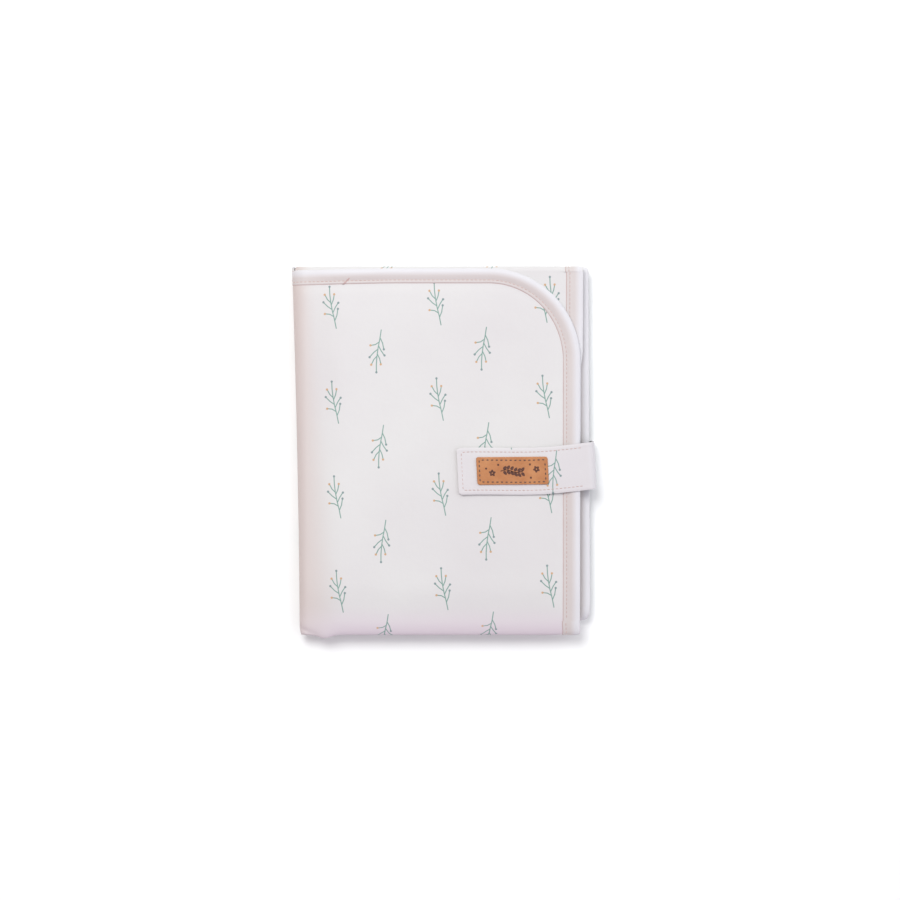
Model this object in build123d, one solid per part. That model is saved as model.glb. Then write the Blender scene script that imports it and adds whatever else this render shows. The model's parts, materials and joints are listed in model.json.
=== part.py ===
from build123d import *

import os

# A travel changing pad, folded and strapped shut.
#
# Open, it is a padded mat about 408 x 634 mm with rounded corners and a bound edge. The long flap folds
# under the middle, the short flap lies between them, and the folded strip then closes like a book along
# its spine. A strap sewn to the back half goes round the open side and presses onto the front.
#
# The pad lies on its back: +Z is up through the stack, the spine runs along Y on the -X side, and the
# strap is on the +X side. Everything is drawn with the spine's outside at x = 0, the long flap's fold
# near y = 0 and the underside of the strap's tail at z = 0. At the end it is all moved, so that the
# origin is under the middle of the folded pad.

# Fabric and padding thicknesses, mm
COVER = 0.5
WADDING = 1.0
LINING = 0.5
TAPE = 0.4  # the edge binding's tape
GAP = 0.3  # air between neighbouring layers of the folded stack

PANEL = 2 * TAPE + COVER + WADDING + LINING  # one bound panel
PITCH = PANEL + GAP
STACK = 5 * PITCH + PANEL  # six panels lie on each other

# The mat's outline, measured on the folded pad
MIDDLE_X = 204.0  # the middle's bound side, from the spine's outside
SHORT_X = 203.0
LONG_X = 200.0  # outer layers lose a little width round the spine
TOP_CREASE_Y = 258.0
LONG_CREASE_Y = {"back": 0.2, "front": -1.5}
OPEN_END_Y = -257.5  # where the long flap's free edge lies when the mat is open
SHORT_FLAP = 122.0
CORNER_R = 64.0
BINDING_WIDTH = 11.0
SEAM_INSET = 9.0  # the stitch line, from the bound edge
SEAM_WIDTH = 0.5
SEAM_DEPTH = 0.2

# Each fold's outside just reaches its crease
SPINE_FLAT = STACK / 2
LONG_FLAT = (2 * PITCH + PANEL) / 2
SHORT_FLAT = (PITCH + PANEL) / 2

# The strap
STRAP_WIDTH = 33.0
STRAP_LAYER = 0.6
STRAP_THICK = 2 * STRAP_LAYER
STRAP_BEND_R = 5.4
ROUND_SLACK = 0.01  # keeps a sliver of straight between two roundings
STRAP_HINGE_X = 205.0
STRAP_Y = 118.4
STRAP_TILT = 3.0  # degrees, as a hand leaves it
STRAP_TAIL = 45.0
TAIL_OVERHANG = 6.0  # from the back long flap's edge to where the strap bends
STRAP_TAB = 92.5
STRAP_TAB_R = 2.0
HOOK_SIZE = (26.0, 25.0)
HOOK_THICK = 0.8
HOOK_X = -74.0
LOOP_SIZE = (40.0, 28.0)
LOOP_THICK = 0.6
LABEL_SIZE = (50.0, 19.4)
LABEL_THICK = 1.0
LABEL_X = -52.2
LABEL_R = 1.5
THREAD_WIDTH = 0.5
THREAD_INSET = 2.6
THREAD_R = (1.0, 0.6)  # corner radii of a stitch line's outer and inner side
LABEL_THREAD_INSET = 1.7

BASE_Z = STRAP_THICK  # the stack lies on the strap's tail, whose underside is at z = 0
SPINE_Z = BASE_Z + STACK / 2
FRONT_Z = BASE_Z + STACK - TAPE  # the front cover's outside
TAB_Z = FRONT_Z + LOOP_THICK + HOOK_THICK
LABEL_Z = TAB_Z + STRAP_THICK


def slab(face, low, high):
    """A flat face in XY as a plate from z = low to z = high."""
    return Pos(0, 0, low) * extrude(face, high - low)


def panel_face(kind, half, inset):
    """One panel's outline, with its bound sides drawn in by inset. Its fold sides stay where they are."""
    crease = LONG_CREASE_Y[half]
    if kind == "middle":
        x_out, y_low, y_high = MIDDLE_X, crease + LONG_FLAT, TOP_CREASE_Y - SHORT_FLAT
    elif kind == "long_flap":
        x_out, y_low, y_high = LONG_X, crease + LONG_FLAT, 2 * crease - OPEN_END_Y - inset
    else:
        x_out, y_low, y_high = SHORT_X, TOP_CREASE_Y - SHORT_FLAP + inset, TOP_CREASE_Y - SHORT_FLAT
    x_out -= inset
    centre = Pos((SPINE_FLAT + x_out) / 2, (y_low + y_high) / 2)
    face = centre * Rectangle(x_out - SPINE_FLAT, y_high - y_low)
    if kind == "middle":
        return face
    outer_side = face.vertices().group_by(Axis.X)[-1].sort_by(Axis.Y)
    free_corner = outer_side[-1] if kind == "long_flap" else outer_side[0]
    return fillet(free_corner, CORNER_R - inset)


def panel(kind, half, low, cover_up):
    """The five pieces of one panel: its three layers, the binding on its free sides and the seam in it."""
    core = panel_face(kind, half, TAPE)
    layers = [("lining", LINING), ("wadding", WADDING), ("cover", COVER)]
    if not cover_up:
        layers.reverse()
    pieces = {}
    z = low + TAPE
    for name, thick in layers:
        pieces[name] = slab(core, z, z + thick)
        z += thick
    band = panel_face(kind, half, 0) - panel_face(kind, half, BINDING_WIDTH)
    line = panel_face(kind, half, SEAM_INSET - SEAM_WIDTH) - panel_face(kind, half, SEAM_INSET)
    high = low + PANEL
    seam = slab(line, low, low + SEAM_DEPTH) + slab(line, high - SEAM_DEPTH, high)
    pieces["binding"] = slab(band, low, high) - slab(core, low + TAPE, high - TAPE) - seam
    pieces["seam"] = seam
    return pieces


def fold_profile(radius):
    """Half a ring of folded layers, open towards +X, centred on the profile's own origin."""
    thick = COVER + WADDING + LINING
    outer = radius - TAPE
    ring = Circle(outer) - Circle(outer - thick)
    return ring - Pos(outer, 0) * Rectangle(2 * outer, 2 * outer)


def spine_fold(radius, y_low, y_high):
    """Layers going round the spine, from y_low to y_high."""
    profile = Plane.XZ * fold_profile(radius)
    return Pos(SPINE_FLAT, y_high, SPINE_Z) * extrude(profile, y_high - y_low)


def cross_fold(radius, x_out, y_flat, z_mid, towards):
    """Layers going round a crease along X, whose outside faces towards (-1 for -Y, +1 for +Y)."""
    side = Plane(origin=(0, 0, 0), x_dir=(0, -towards, 0), z_dir=(1, 0, 0))
    profile = side * fold_profile(radius)
    width = x_out - TAPE - SPINE_FLAT
    return Pos(SPINE_FLAT, y_flat, z_mid) * extrude(profile, width, dir=(1, 0, 0))


def strap_place():
    """Where the strap's own frame stands: x = 0 is its hinge line, and it runs along X."""
    return Pos(STRAP_HINGE_X, STRAP_Y, 0) * Rot(0, 0, STRAP_TILT)


def band(x_low, x_high, low, high, width=STRAP_WIDTH):
    """A flat length of strap in the strap's own frame."""
    face = Pos((x_low + x_high) / 2, 0) * Rectangle(x_high - x_low, width)
    return slab(face, low, high)


def patch(size, centre_x, low, thick, corner_r=1.0, inset=0.0):
    """A flat rounded patch in the strap's own frame."""
    face = RectangleRounded(size[0] - 2 * inset, size[1] - 2 * inset, corner_r)
    return slab(Pos(centre_x, 0) * face, low, low + thick)


def tab_face(inset):
    """The strap tab's outline, rounded at its free end, drawn in by inset on its three free sides."""
    length = STRAP_TAB - inset
    face = Pos(-length / 2, 0) * Rectangle(length, STRAP_WIDTH - 2 * inset)
    free_end = face.vertices().group_by(Axis.X)[0]
    return fillet(free_end, STRAP_TAB_R)


def bend_outline(grow):
    """The strap's mid-surface profile round the stack's open side, grown outwards by grow."""
    radius = STRAP_BEND_R + grow
    tall = TAB_Z + 2 * grow
    middle = (TAB_Z + STRAP_THICK) / 2
    face = Pos(0, middle) * Rectangle(2 * radius, tall)
    face = fillet(face.vertices(), radius - ROUND_SLACK)
    return face - Pos(-radius, middle) * Rectangle(2 * radius, 2 * tall)


def bend_layer(grow_low, grow_high):
    """One layer of the strap where it goes round the stack's open side."""
    profile = Plane.XZ * (bend_outline(grow_high) - bend_outline(grow_low))
    return Pos(0, STRAP_WIDTH / 2, 0) * extrude(profile, STRAP_WIDTH)


def panels():
    """All six panels, from the table up: the back half, then the front half on it."""
    rows = [
        ("back", "long_flap", False),
        ("back", "short_flap", False),
        ("back", "middle", True),
        ("front", "middle", False),
        ("front", "short_flap", True),
        ("front", "long_flap", True),
    ]
    pieces = {}
    for level, (half, kind, cover_up) in enumerate(rows):
        for name, solid in panel(kind, half, BASE_Z + level * PITCH, cover_up).items():
            pieces[f"{half}_{kind}_{name}"] = solid
    return pieces


def folds():
    """The folded lengths of the padded sheet between the panels. They flex when the pad is opened."""
    pieces = {}
    back, front = LONG_CREASE_Y["back"] + LONG_FLAT, 2 * LONG_CREASE_Y["front"] - OPEN_END_Y
    top_flat = TOP_CREASE_Y - SHORT_FLAT
    pieces["long_flap_spine_fold"] = spine_fold(STACK / 2, back, front - BINDING_WIDTH)
    short_low = TOP_CREASE_Y - SHORT_FLAP + BINDING_WIDTH
    pieces["short_flap_spine_fold"] = spine_fold((3 * PITCH + PANEL) / 2, short_low, top_flat)
    pieces["middle_spine_fold"] = spine_fold((PITCH + PANEL) / 2, back, top_flat)
    lowest_mid = BASE_Z + PANEL / 2
    long_mid = {"back": lowest_mid + PITCH, "front": lowest_mid + 4 * PITCH}
    short_mid = {"back": lowest_mid + 1.5 * PITCH, "front": lowest_mid + 3.5 * PITCH}
    for half in ("back", "front"):
        y_flat = LONG_CREASE_Y[half] + LONG_FLAT
        pieces[f"{half}_bottom_fold"] = cross_fold(LONG_FLAT, LONG_X, y_flat, long_mid[half], -1)
        pieces[f"{half}_top_fold"] = cross_fold(SHORT_FLAT, SHORT_X, top_flat, short_mid[half], 1)
    return pieces


def strap():
    """The strap with its sewn tail, its bend round the stack and its tab, and what is on it."""
    top_z = TAB_Z + STRAP_LAYER
    pieces = {}
    sewn = (STRAP_TAIL - TAIL_OVERHANG, STRAP_WIDTH)
    sewn_x = -(STRAP_TAIL + TAIL_OVERHANG) / 2
    tail_line = patch(sewn, sewn_x, 0, SEAM_DEPTH, THREAD_R[0], THREAD_INSET)
    tail_line -= patch(sewn, sewn_x, 0, SEAM_DEPTH, THREAD_R[1], THREAD_INSET + THREAD_WIDTH)
    pieces["strap_tail_outer"] = band(-STRAP_TAIL, 0, 0, STRAP_LAYER) - tail_line
    pieces["strap_tail_lining"] = band(-STRAP_TAIL, 0, STRAP_LAYER, STRAP_THICK)
    pieces["strap_tail_stitching"] = tail_line
    pieces["strap_bend_lining"] = bend_layer(-STRAP_LAYER, 0)
    pieces["strap_bend_outer"] = bend_layer(0, STRAP_LAYER)
    tab_line = tab_face(THREAD_INSET) - tab_face(THREAD_INSET + THREAD_WIDTH)
    tab_thread = slab(tab_line, LABEL_Z - SEAM_DEPTH, LABEL_Z)
    pieces["strap_tab_lining"] = slab(tab_face(0), TAB_Z, top_z)
    pieces["strap_tab_outer"] = slab(tab_face(0), top_z, LABEL_Z) - tab_thread
    pieces["strap_tab_stitching"] = tab_thread
    pieces["hook_tape"] = patch(HOOK_SIZE, HOOK_X, TAB_Z - HOOK_THICK, HOOK_THICK)
    pieces["loop_tape"] = patch(LOOP_SIZE, HOOK_X, FRONT_Z, LOOP_THICK)
    label_top = LABEL_Z + LABEL_THICK
    groove = label_top - SEAM_DEPTH
    outer_edge, inner_edge = LABEL_THREAD_INSET, LABEL_THREAD_INSET + THREAD_WIDTH
    label_thread = patch(LABEL_SIZE, LABEL_X, groove, SEAM_DEPTH, THREAD_R[0], outer_edge)
    label_thread -= patch(LABEL_SIZE, LABEL_X, groove, SEAM_DEPTH, THREAD_R[1], inner_edge)
    pieces["leather_label"] = patch(LABEL_SIZE, LABEL_X, LABEL_Z, LABEL_THICK, LABEL_R) - label_thread
    pieces["label_stitching"] = label_thread
    return {name: strap_place() * solid for name, solid in pieces.items()}


def main():
    os.makedirs("parts", exist_ok=True)
    pieces = {**panels(), **folds(), **strap()}
    box = Compound(list(pieces.values())).bounding_box()
    to_origin = Pos(-box.center().X, -box.center().Y, -box.min.Z)
    print("Drawing's origin in the part's frame:", to_origin.position)
    for name, solid in pieces.items():
        export_step(to_origin * solid, f"parts/{name}.step")


main()
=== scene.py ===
import json
import math

import bmesh
import bpy
import numpy as np
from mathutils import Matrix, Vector, noise


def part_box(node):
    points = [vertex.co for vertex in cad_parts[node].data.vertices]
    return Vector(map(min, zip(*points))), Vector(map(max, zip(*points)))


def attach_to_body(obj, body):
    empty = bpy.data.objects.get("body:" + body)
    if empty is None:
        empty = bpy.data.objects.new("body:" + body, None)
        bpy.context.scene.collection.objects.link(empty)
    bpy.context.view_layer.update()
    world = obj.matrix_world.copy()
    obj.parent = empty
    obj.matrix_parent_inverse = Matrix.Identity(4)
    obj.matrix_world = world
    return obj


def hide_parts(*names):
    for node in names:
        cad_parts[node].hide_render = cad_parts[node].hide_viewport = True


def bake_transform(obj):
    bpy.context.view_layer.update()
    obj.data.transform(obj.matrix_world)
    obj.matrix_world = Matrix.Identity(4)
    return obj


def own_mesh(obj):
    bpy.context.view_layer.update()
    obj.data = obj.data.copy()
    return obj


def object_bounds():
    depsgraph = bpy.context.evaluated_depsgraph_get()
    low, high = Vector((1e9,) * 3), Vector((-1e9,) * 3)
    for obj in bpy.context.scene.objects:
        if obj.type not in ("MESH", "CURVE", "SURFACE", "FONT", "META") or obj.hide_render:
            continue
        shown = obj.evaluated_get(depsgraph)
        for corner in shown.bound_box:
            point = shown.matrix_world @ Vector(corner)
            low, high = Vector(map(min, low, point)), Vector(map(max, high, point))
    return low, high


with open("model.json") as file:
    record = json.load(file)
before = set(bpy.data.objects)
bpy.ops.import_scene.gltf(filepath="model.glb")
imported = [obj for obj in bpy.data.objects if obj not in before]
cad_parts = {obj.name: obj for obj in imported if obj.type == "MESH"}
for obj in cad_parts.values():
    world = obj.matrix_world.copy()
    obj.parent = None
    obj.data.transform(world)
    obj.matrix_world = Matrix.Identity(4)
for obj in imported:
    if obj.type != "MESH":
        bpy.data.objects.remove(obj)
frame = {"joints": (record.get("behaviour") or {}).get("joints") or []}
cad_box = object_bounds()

MM = 0.001
HALVES = ("back", "front")
SIGN = {"back": -1.0, "front": 1.0}

# ---- places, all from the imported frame
JOINTS = {j["name"]: j for j in frame["joints"]}
SPINE_X, _, SPINE_Z = JOINTS["book_open"]["pos_m"]
FRONT_CREASE = JOINTS["flap_open"]["pos_m"][1]
BACK_CREASE = JOINTS["long_flap_back_open"]["pos_m"][1]
TOP_CREASE = JOINTS["short_flap_front_open"]["pos_m"][1]
CREASE = {"back": BACK_CREASE, "front": FRONT_CREASE}
FLAT_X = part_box("front_long_flap_cover")[0].x  # the panels are flat from here to the open side


def layer_depths(kind):
    """Nearest and farthest distance of a layer from the book fold's middle plane."""
    low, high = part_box(f"front_{kind}_binding")
    return low.z - SPINE_Z, high.z - SPINE_Z


DEPTHS = {kind: layer_depths(kind) for kind in ("middle", "short_flap", "long_flap")}
PANEL_T = DEPTHS["middle"][1] - DEPTHS["middle"][0]
OUTSIDE = DEPTHS["long_flap"][1]
EDGE_X = {(h, k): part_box(f"{h}_{k}_binding")[1].x for h in HALVES for k in DEPTHS}
FREE_Y = {(h, k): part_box(f"{h}_{k}_binding")[corner].y for h in HALVES
          for k, corner in (("long_flap", 1), ("short_flap", 0))}
CORNER_R = 64 * MM
BOTTOM_ROLL = 10 * MM  # how far in from the crease the cloth starts to roll over
TOP_ROLL = 5 * MM
SPINE_BOTTOM, SPINE_TOP = 0.66, 1.24  # the spine draws in towards the bottom: shares of its roll
SINK_LEFT, SINK_BOTTOM = 0.40, 0.28  # how much the front half is pressed down towards its folds
SINK_WIDTH = 36 * MM

# How far the middle's, the short flap's and the long flap's open edges are off, at the bottom and the top
EDGE_LOW = {"back": (4.6 * MM, 3.0 * MM, 4.0 * MM), "front": (-4.2 * MM, -1.6 * MM, 1.0 * MM)}
EDGE_HIGH = {"back": (3.2 * MM, 2.0 * MM, 3.0 * MM), "front": (-2.8 * MM, 0.2 * MM, 1.0 * MM)}
BACK_SKEW = 8.5 * MM  # the back's bottom fold at the open side is higher by this
FAN_FROM, FAN_LENGTH = 90 * MM, 95 * MM  # where the fanning out starts, from FLAT_X, and its length
SKEW_FROM, SKEW_LENGTH = 172 * MM, 34 * MM  # the same for the back's skew, from the spine
FREE_RISE = (0.9 * MM, 2.2 * MM)  # how much higher the front's free edge lies, at the spine and beyond it
TUCK_X, TUCK_WIDTH, TUCK_DROP = 21 * MM, 5.5 * MM, 2.6 * MM  # the tuck in the front's lower corner
TUCK_WAY = (0.93, -0.37)  # the direction of its fold
TUCK_GROOVE = 0.6 * MM

TAPE_W = 11 * MM
TAPE_PROUD, PANEL_PROUD = 0.55 * MM, 0.9 * MM  # how much fuller the front's outer tape and panel are
STITCH_STEP = 3.0 * MM
STITCH_LEN = 2.2 * MM
JOIN_X = 33.5 * MM  # where the front binding's ends meet, from the spine

FLAP_OF = {"bottom": "long_flap", "top": "short_flap"}
FREE_WAY = {"long_flap": 1.0, "short_flap": -1.0}  # the way from a flap's fold to its free edge, in y
ROUND_SPINE = np.linspace(FLAT_X, SPINE_X, 14)

# Offsets of the print along the sheet and across it on each kind of panel, and its direction
PRINT_SHIFT = {"long_flap": (11.6, -14.2, 1), "middle": (11.6, -22.5, -1), "short_flap": (17.2, -546.7, 1)}
SPINE_ARC = 14 * MM  # cloth from the flat part to the middle plane, round the spine


def smooth(t):
    t = np.clip(t, 0, 1)
    return t * t * (3 - 2 * t)


def height_share(y):
    """0 at the bottom fold and 1 at the top fold."""
    return np.clip((y - FRONT_CREASE) / (TOP_CREASE - FRONT_CREASE), 0, 1)


# ---- the folded sheet as a mapping
def spine_reach(depth):
    """How far a layer at this depth reaches past FLAT_X as it rounds the spine."""
    return (FLAT_X - SPINE_X) * (0.45 + 0.55 * np.clip(depth / OUTSIDE, 0, 1) ** 0.8)


def drape(x, y, depth, half):
    """How a hand left the layers: they fan out a little at the open side and the back fold runs askew."""
    up = height_share(y)
    across = smooth((x - FLAT_X - FAN_FROM) / FAN_LENGTH)
    kinds = [sum(DEPTHS[kind]) / 2 for kind in ("middle", "short_flap", "long_flap")]
    low = np.interp(depth, kinds, EDGE_LOW[half])
    high = np.interp(depth, kinds, EDGE_HIGH[half])
    dx = (low + (high - low) * up) * across
    if half == "back":
        return dx, BACK_SKEW * smooth((x - SPINE_X - SKEW_FROM) / SKEW_LENGTH) * (1 - up)
    outer = smooth((depth - kinds[1]) / (kinds[2] - kinds[1]))
    tuck = -TUCK_DROP * np.exp(-((x - SPINE_X - TUCK_X) / TUCK_WIDTH) ** 2) * smooth(depth / (4 * MM))
    tuck = tuck * smooth(1 - (y - FRONT_CREASE) / (11 * MM))
    rise = FREE_RISE[0] + (FREE_RISE[1] - FREE_RISE[0]) * smooth((x - SPINE_X) / (75 * MM))
    return dx, rise * outer * up ** 2 + tuck


def place(x, y, depth, half):
    """Points of the folded stack. Past FLAT_X, x runs on round the spine as an angle, to 90 degrees."""
    x, y, depth = np.broadcast_arrays(*(np.asarray(a, float) for a in (x, y, depth)))
    turn = np.clip((FLAT_X - x) / (FLAT_X - SPINE_X), 0, 1) * math.pi / 2
    up = height_share(y)
    slant = SPINE_BOTTOM + (SPINE_TOP - SPINE_BOTTOM) * up ** 1.6
    dx, dy = drape(x, y, depth, half)
    px = np.where(x >= FLAT_X, x + dx, FLAT_X - spine_reach(depth) * slant * np.sin(turn))
    high = depth * np.cos(turn)
    if half == "front":
        high = high * (1 - SINK_LEFT * (1 - smooth((x - SPINE_X) / SINK_WIDTH)))
        high = high * (1 - SINK_BOTTOM * (1 - smooth((y - FRONT_CREASE) / SINK_WIDTH)))
        from_x, from_y = x - SPINE_X, y - FRONT_CREASE - 6 * MM
        along = (from_x * TUCK_WAY[0] + from_y * TUCK_WAY[1]) / TUCK_X
        off = from_x * TUCK_WAY[1] - from_y * TUCK_WAY[0]
        fold = np.exp(-(off / (1.7 * MM)) ** 2) - 0.35 * np.exp(-((off - 3.6 * MM) / (2.6 * MM)) ** 2)
        inside = smooth(along * 4) * smooth((1.15 - along) * 4)
        high = high - TUCK_GROOVE * fold * inside * smooth((depth - 4 * MM) / (4 * MM))
    return np.stack([px, y + dy, SPINE_Z + SIGN[half] * high], -1)


def wave(x, y, seed, size=38 * MM):
    """Soft unevenness of the padding, between -1 and 1."""
    flat = np.stack(np.broadcast_arrays(x, y), -1).reshape(-1, 2)
    values = [noise.noise(Vector((a / size, b / size, seed))) for a, b in flat]
    return np.array(values).reshape(np.broadcast(x, y).shape)


# ---- mesh helpers
def fold_shade_shares(verts):
    """Shares of painted shade by how near the folded pad's points are to the book fold (x) and to the bottom
    fold (y), 0 to 1.
    """
    up = height_share(verts[:, 1])
    spine = 1 - smooth((verts[:, 0] - SPINE_X) / ((13 + 25 * (1 - up)) * MM))
    bottom = 1 - smooth((verts[:, 1] - FRONT_CREASE) / (24 * MM))
    return np.stack([spine, bottom * (1 - 0.6 * spine), 0 * up], -1)


def add_object(name, data):
    obj = bpy.data.objects.new(name, data)
    bpy.context.collection.objects.link(obj)
    return obj


def new_mesh(name, verts, faces, materials, slots=None, smooth_angle=50, sheet=None):
    mesh = bpy.data.meshes.new(name)
    mesh.from_pydata(np.asarray(verts, float).tolist(), [], faces)
    for material in materials:
        mesh.materials.append(material)
    if slots is not None:
        mesh.polygons.foreach_set("material_index", np.asarray(slots, np.int32))
    if sheet is not None:
        flat = np.zeros((len(verts), 3))
        flat[:, :2] = sheet
        # the second attribute holds the shares of painted shade towards the book fold and the bottom fold
        for key, values in (("sheet", flat), ("folds", fold_shade_shares(np.asarray(verts, float)))):
            layer = mesh.attributes.new(key, "FLOAT_VECTOR", "POINT")
            layer.data.foreach_set("vector", values.astype(np.float32).ravel())
    work = bmesh.new()
    work.from_mesh(mesh)
    bmesh.ops.recalc_face_normals(work, faces=work.faces)
    work.to_mesh(mesh)
    work.free()
    mesh.polygons.foreach_set("use_smooth", [True] * len(mesh.polygons))
    mesh.set_sharp_from_angle(angle=math.radians(smooth_angle))
    return add_object(name, mesh)


def grid_faces(ids, flip=False):
    quads = np.stack([ids[:-1, :-1], ids[1:, :-1], ids[1:, 1:], ids[:-1, 1:]], -1).reshape(-1, 4)
    return (quads[:, ::-1] if flip else quads).tolist()


def tube_faces(rows, cols, first=0):
    """Faces of a closed bar whose sections are rows of points, with a face at each end."""
    ids = first + np.arange(rows * cols).reshape(rows, cols)
    ring = np.concatenate([ids, ids[:, :1]], 1)
    return grid_faces(ring) + [ids[0].tolist(), ids[-1][::-1].tolist()]


def padded_sheet(name, printed, lined, sheet, materials):
    """A closed padded sheet between two skins, given as grids of points of the same size."""
    rows, cols = printed.shape[:2]
    count = rows * cols
    top = np.arange(count).reshape(rows, cols)
    low = top + count
    faces = grid_faces(top) + grid_faces(low, True)
    slots = [0] * ((rows - 1) * (cols - 1)) + [1] * ((rows - 1) * (cols - 1))
    for a, b in ((top[0], low[0]), (low[-1], top[-1]), (low[:, 0], top[:, 0]), (top[:, -1], low[:, -1])):
        faces += [[a[i], a[i + 1], b[i + 1], b[i]] for i in range(len(a) - 1)]
        slots += [1] * (len(a) - 1)
    verts = np.concatenate([printed.reshape(-1, 3), lined.reshape(-1, 3)])
    both = np.concatenate([sheet.reshape(-1, 2)] * 2)
    return new_mesh(name, verts, faces, materials, slots, sheet=both)


def sweep(name, loops, materials, slots=None, sheet=None):
    """A closed bar through a row of closed sections: loops has the shape (sections, points, 3)."""
    rows, cols = loops.shape[:2]
    face_slots = list(slots) * (rows - 1) + [0, 0] if slots else None
    return new_mesh(name, loops.reshape(-1, 3), tube_faces(rows, cols), materials, face_slots, sheet=sheet)


def unit(v):
    return v / np.maximum(np.linalg.norm(v, axis=-1, keepdims=True), 1e-12)


def run_of(points):
    """The length along a row of points, up to each of them."""
    return np.concatenate([[0], np.cumsum(np.linalg.norm(np.diff(points, axis=0), axis=1))])


def points_at(at, run, rows):
    """A row of points read at the given lengths along it."""
    return np.stack([np.interp(at, run, column) for column in rows.T], -1)


def attach(obj, slot, body, *nodes):
    """Gives a piece its body and hides the CAD nodes it stands for. The slot is not used."""
    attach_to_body(obj, body)
    if nodes:
        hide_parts(*nodes)


# ---- node helpers
def material(name):
    mat = bpy.data.materials.new(name)
    mat.use_nodes = True
    return mat, mat.node_tree, mat.node_tree.nodes["Principled BSDF"]


def put(tree, socket, value):
    if isinstance(value, bpy.types.NodeSocket):
        tree.links.new(value, socket)
    else:
        socket.default_value = value


def calc(tree, op, a, b=0.0, c=None, clamp=False):
    node = tree.nodes.new("ShaderNodeMath")
    node.operation = op
    node.use_clamp = clamp
    put(tree, node.inputs[0], a)
    put(tree, node.inputs[1], b)
    if c is not None:
        put(tree, node.inputs[2], c)
    return node.outputs[0]


def vcalc(tree, op, a, b=(0, 0, 0), scale=None):
    node = tree.nodes.new("ShaderNodeVectorMath")
    node.operation = op
    put(tree, node.inputs[0], a)
    put(tree, node.inputs[1], b)
    if scale is not None:
        put(tree, node.inputs["Scale"], scale)
    return node.outputs["Value" if op in ("DOT_PRODUCT", "LENGTH", "DISTANCE") else "Vector"]


def split_xyz(tree, vector):
    node = tree.nodes.new("ShaderNodeSeparateXYZ")
    put(tree, node.inputs[0], vector)
    return node.outputs


def attribute(tree, name):
    node = tree.nodes.new("ShaderNodeAttribute")
    node.attribute_name = name
    return node.outputs["Vector"]


def object_place(tree):
    return tree.nodes.new("ShaderNodeTexCoord").outputs["Object"]


def settle(node, **values):
    """Sets a node's plain values. Underscores in the names stand for spaces."""
    for name, value in values.items():
        node.inputs[name.replace("_", " ")].default_value = value


def mix(tree, share, a, b):
    node = tree.nodes.new("ShaderNodeMix")
    node.data_type = "RGBA"
    put(tree, node.inputs["Factor"], share)
    put(tree, node.inputs[6], a)
    put(tree, node.inputs[7], b)
    return node.outputs[2]


def noise_value(tree, vector, scale, detail=2.0, rough=0.5):
    node = tree.nodes.new("ShaderNodeTexNoise")
    settle(node, Scale=scale, Detail=detail, Roughness=rough)
    put(tree, node.inputs["Vector"], vector)
    return node.outputs["Fac"]


def cell_value(tree, vector, scale):
    node = tree.nodes.new("ShaderNodeTexVoronoi")
    settle(node, Scale=scale)
    put(tree, node.inputs["Vector"], vector)
    return node.outputs["Distance"]


def wave_value(tree, vector, period, direction):
    node = tree.nodes.new("ShaderNodeTexWave")
    node.bands_direction = direction
    settle(node, Scale=2 * math.pi / period / 20)
    put(tree, node.inputs["Vector"], vector)
    return node.outputs["Fac"]


def bump(tree, shader, height, distance, strength=1.0, under=None):
    node = tree.nodes.new("ShaderNodeBump")
    settle(node, Distance=distance, Strength=strength)
    put(tree, node.inputs["Height"], height)
    if under is not None:
        put(tree, node.inputs["Normal"], under)
    put(tree, shader.inputs["Normal"], node.outputs[0])
    return node.outputs[0]


def rgb(r, g, b):
    """A colour given as 0-255 display values."""
    lin = [(c / 255) / 12.92 if c <= 10 else ((c / 255 + 0.055) / 1.055) ** 2.4 for c in (r, g, b)]
    return (*lin, 1.0)


# ---- the sprig print
# One sprig, in millimetres from the foot of its stem: lines as rows of points, and berries.
SPRIG_LINES = (
    ((0, 0), (-1.1, 6.2), (-2.5, 12.4), (-3.5, 18.6), (-4.0, 24.0), (-4.1, 28.8)),
    ((-1.5, 8.2), (-4.3, 10.0), (-7.3, 10.4)),
    ((-0.9, 5.4), (0.7, 9.0), (1.4, 13.0)),
    ((-2.6, 13.2), (-5.6, 15.4), (-8.3, 18.2)),
    ((-2.1, 11.0), (-0.3, 14.6), (1.6, 17.4)),
    ((-3.4, 18.0), (-5.7, 20.3), (-7.3, 23.4)),
    ((-3.1, 16.6), (-1.6, 19.9), (-0.9, 23.3)),
)
GREEN_BERRIES = ((-4.1, 29.2), (-8.6, 18.6), (1.9, 17.7), (1.5, 13.5))
OCHRE_BERRIES = ((-7.6, 23.8), (-0.9, 23.8), (-7.8, 10.4))
SPRIG_COLUMN = 73.5
SPRIG_ROW = 33.06
SPRIG_SHIFT = 31.5  # every second row is moved along by this and turned upside down
SPRIG_FOOT = 1.2
PRINT_TILT = math.radians(1.4)
LINE_HALF = 0.34
BERRY_R = 0.80


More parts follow.
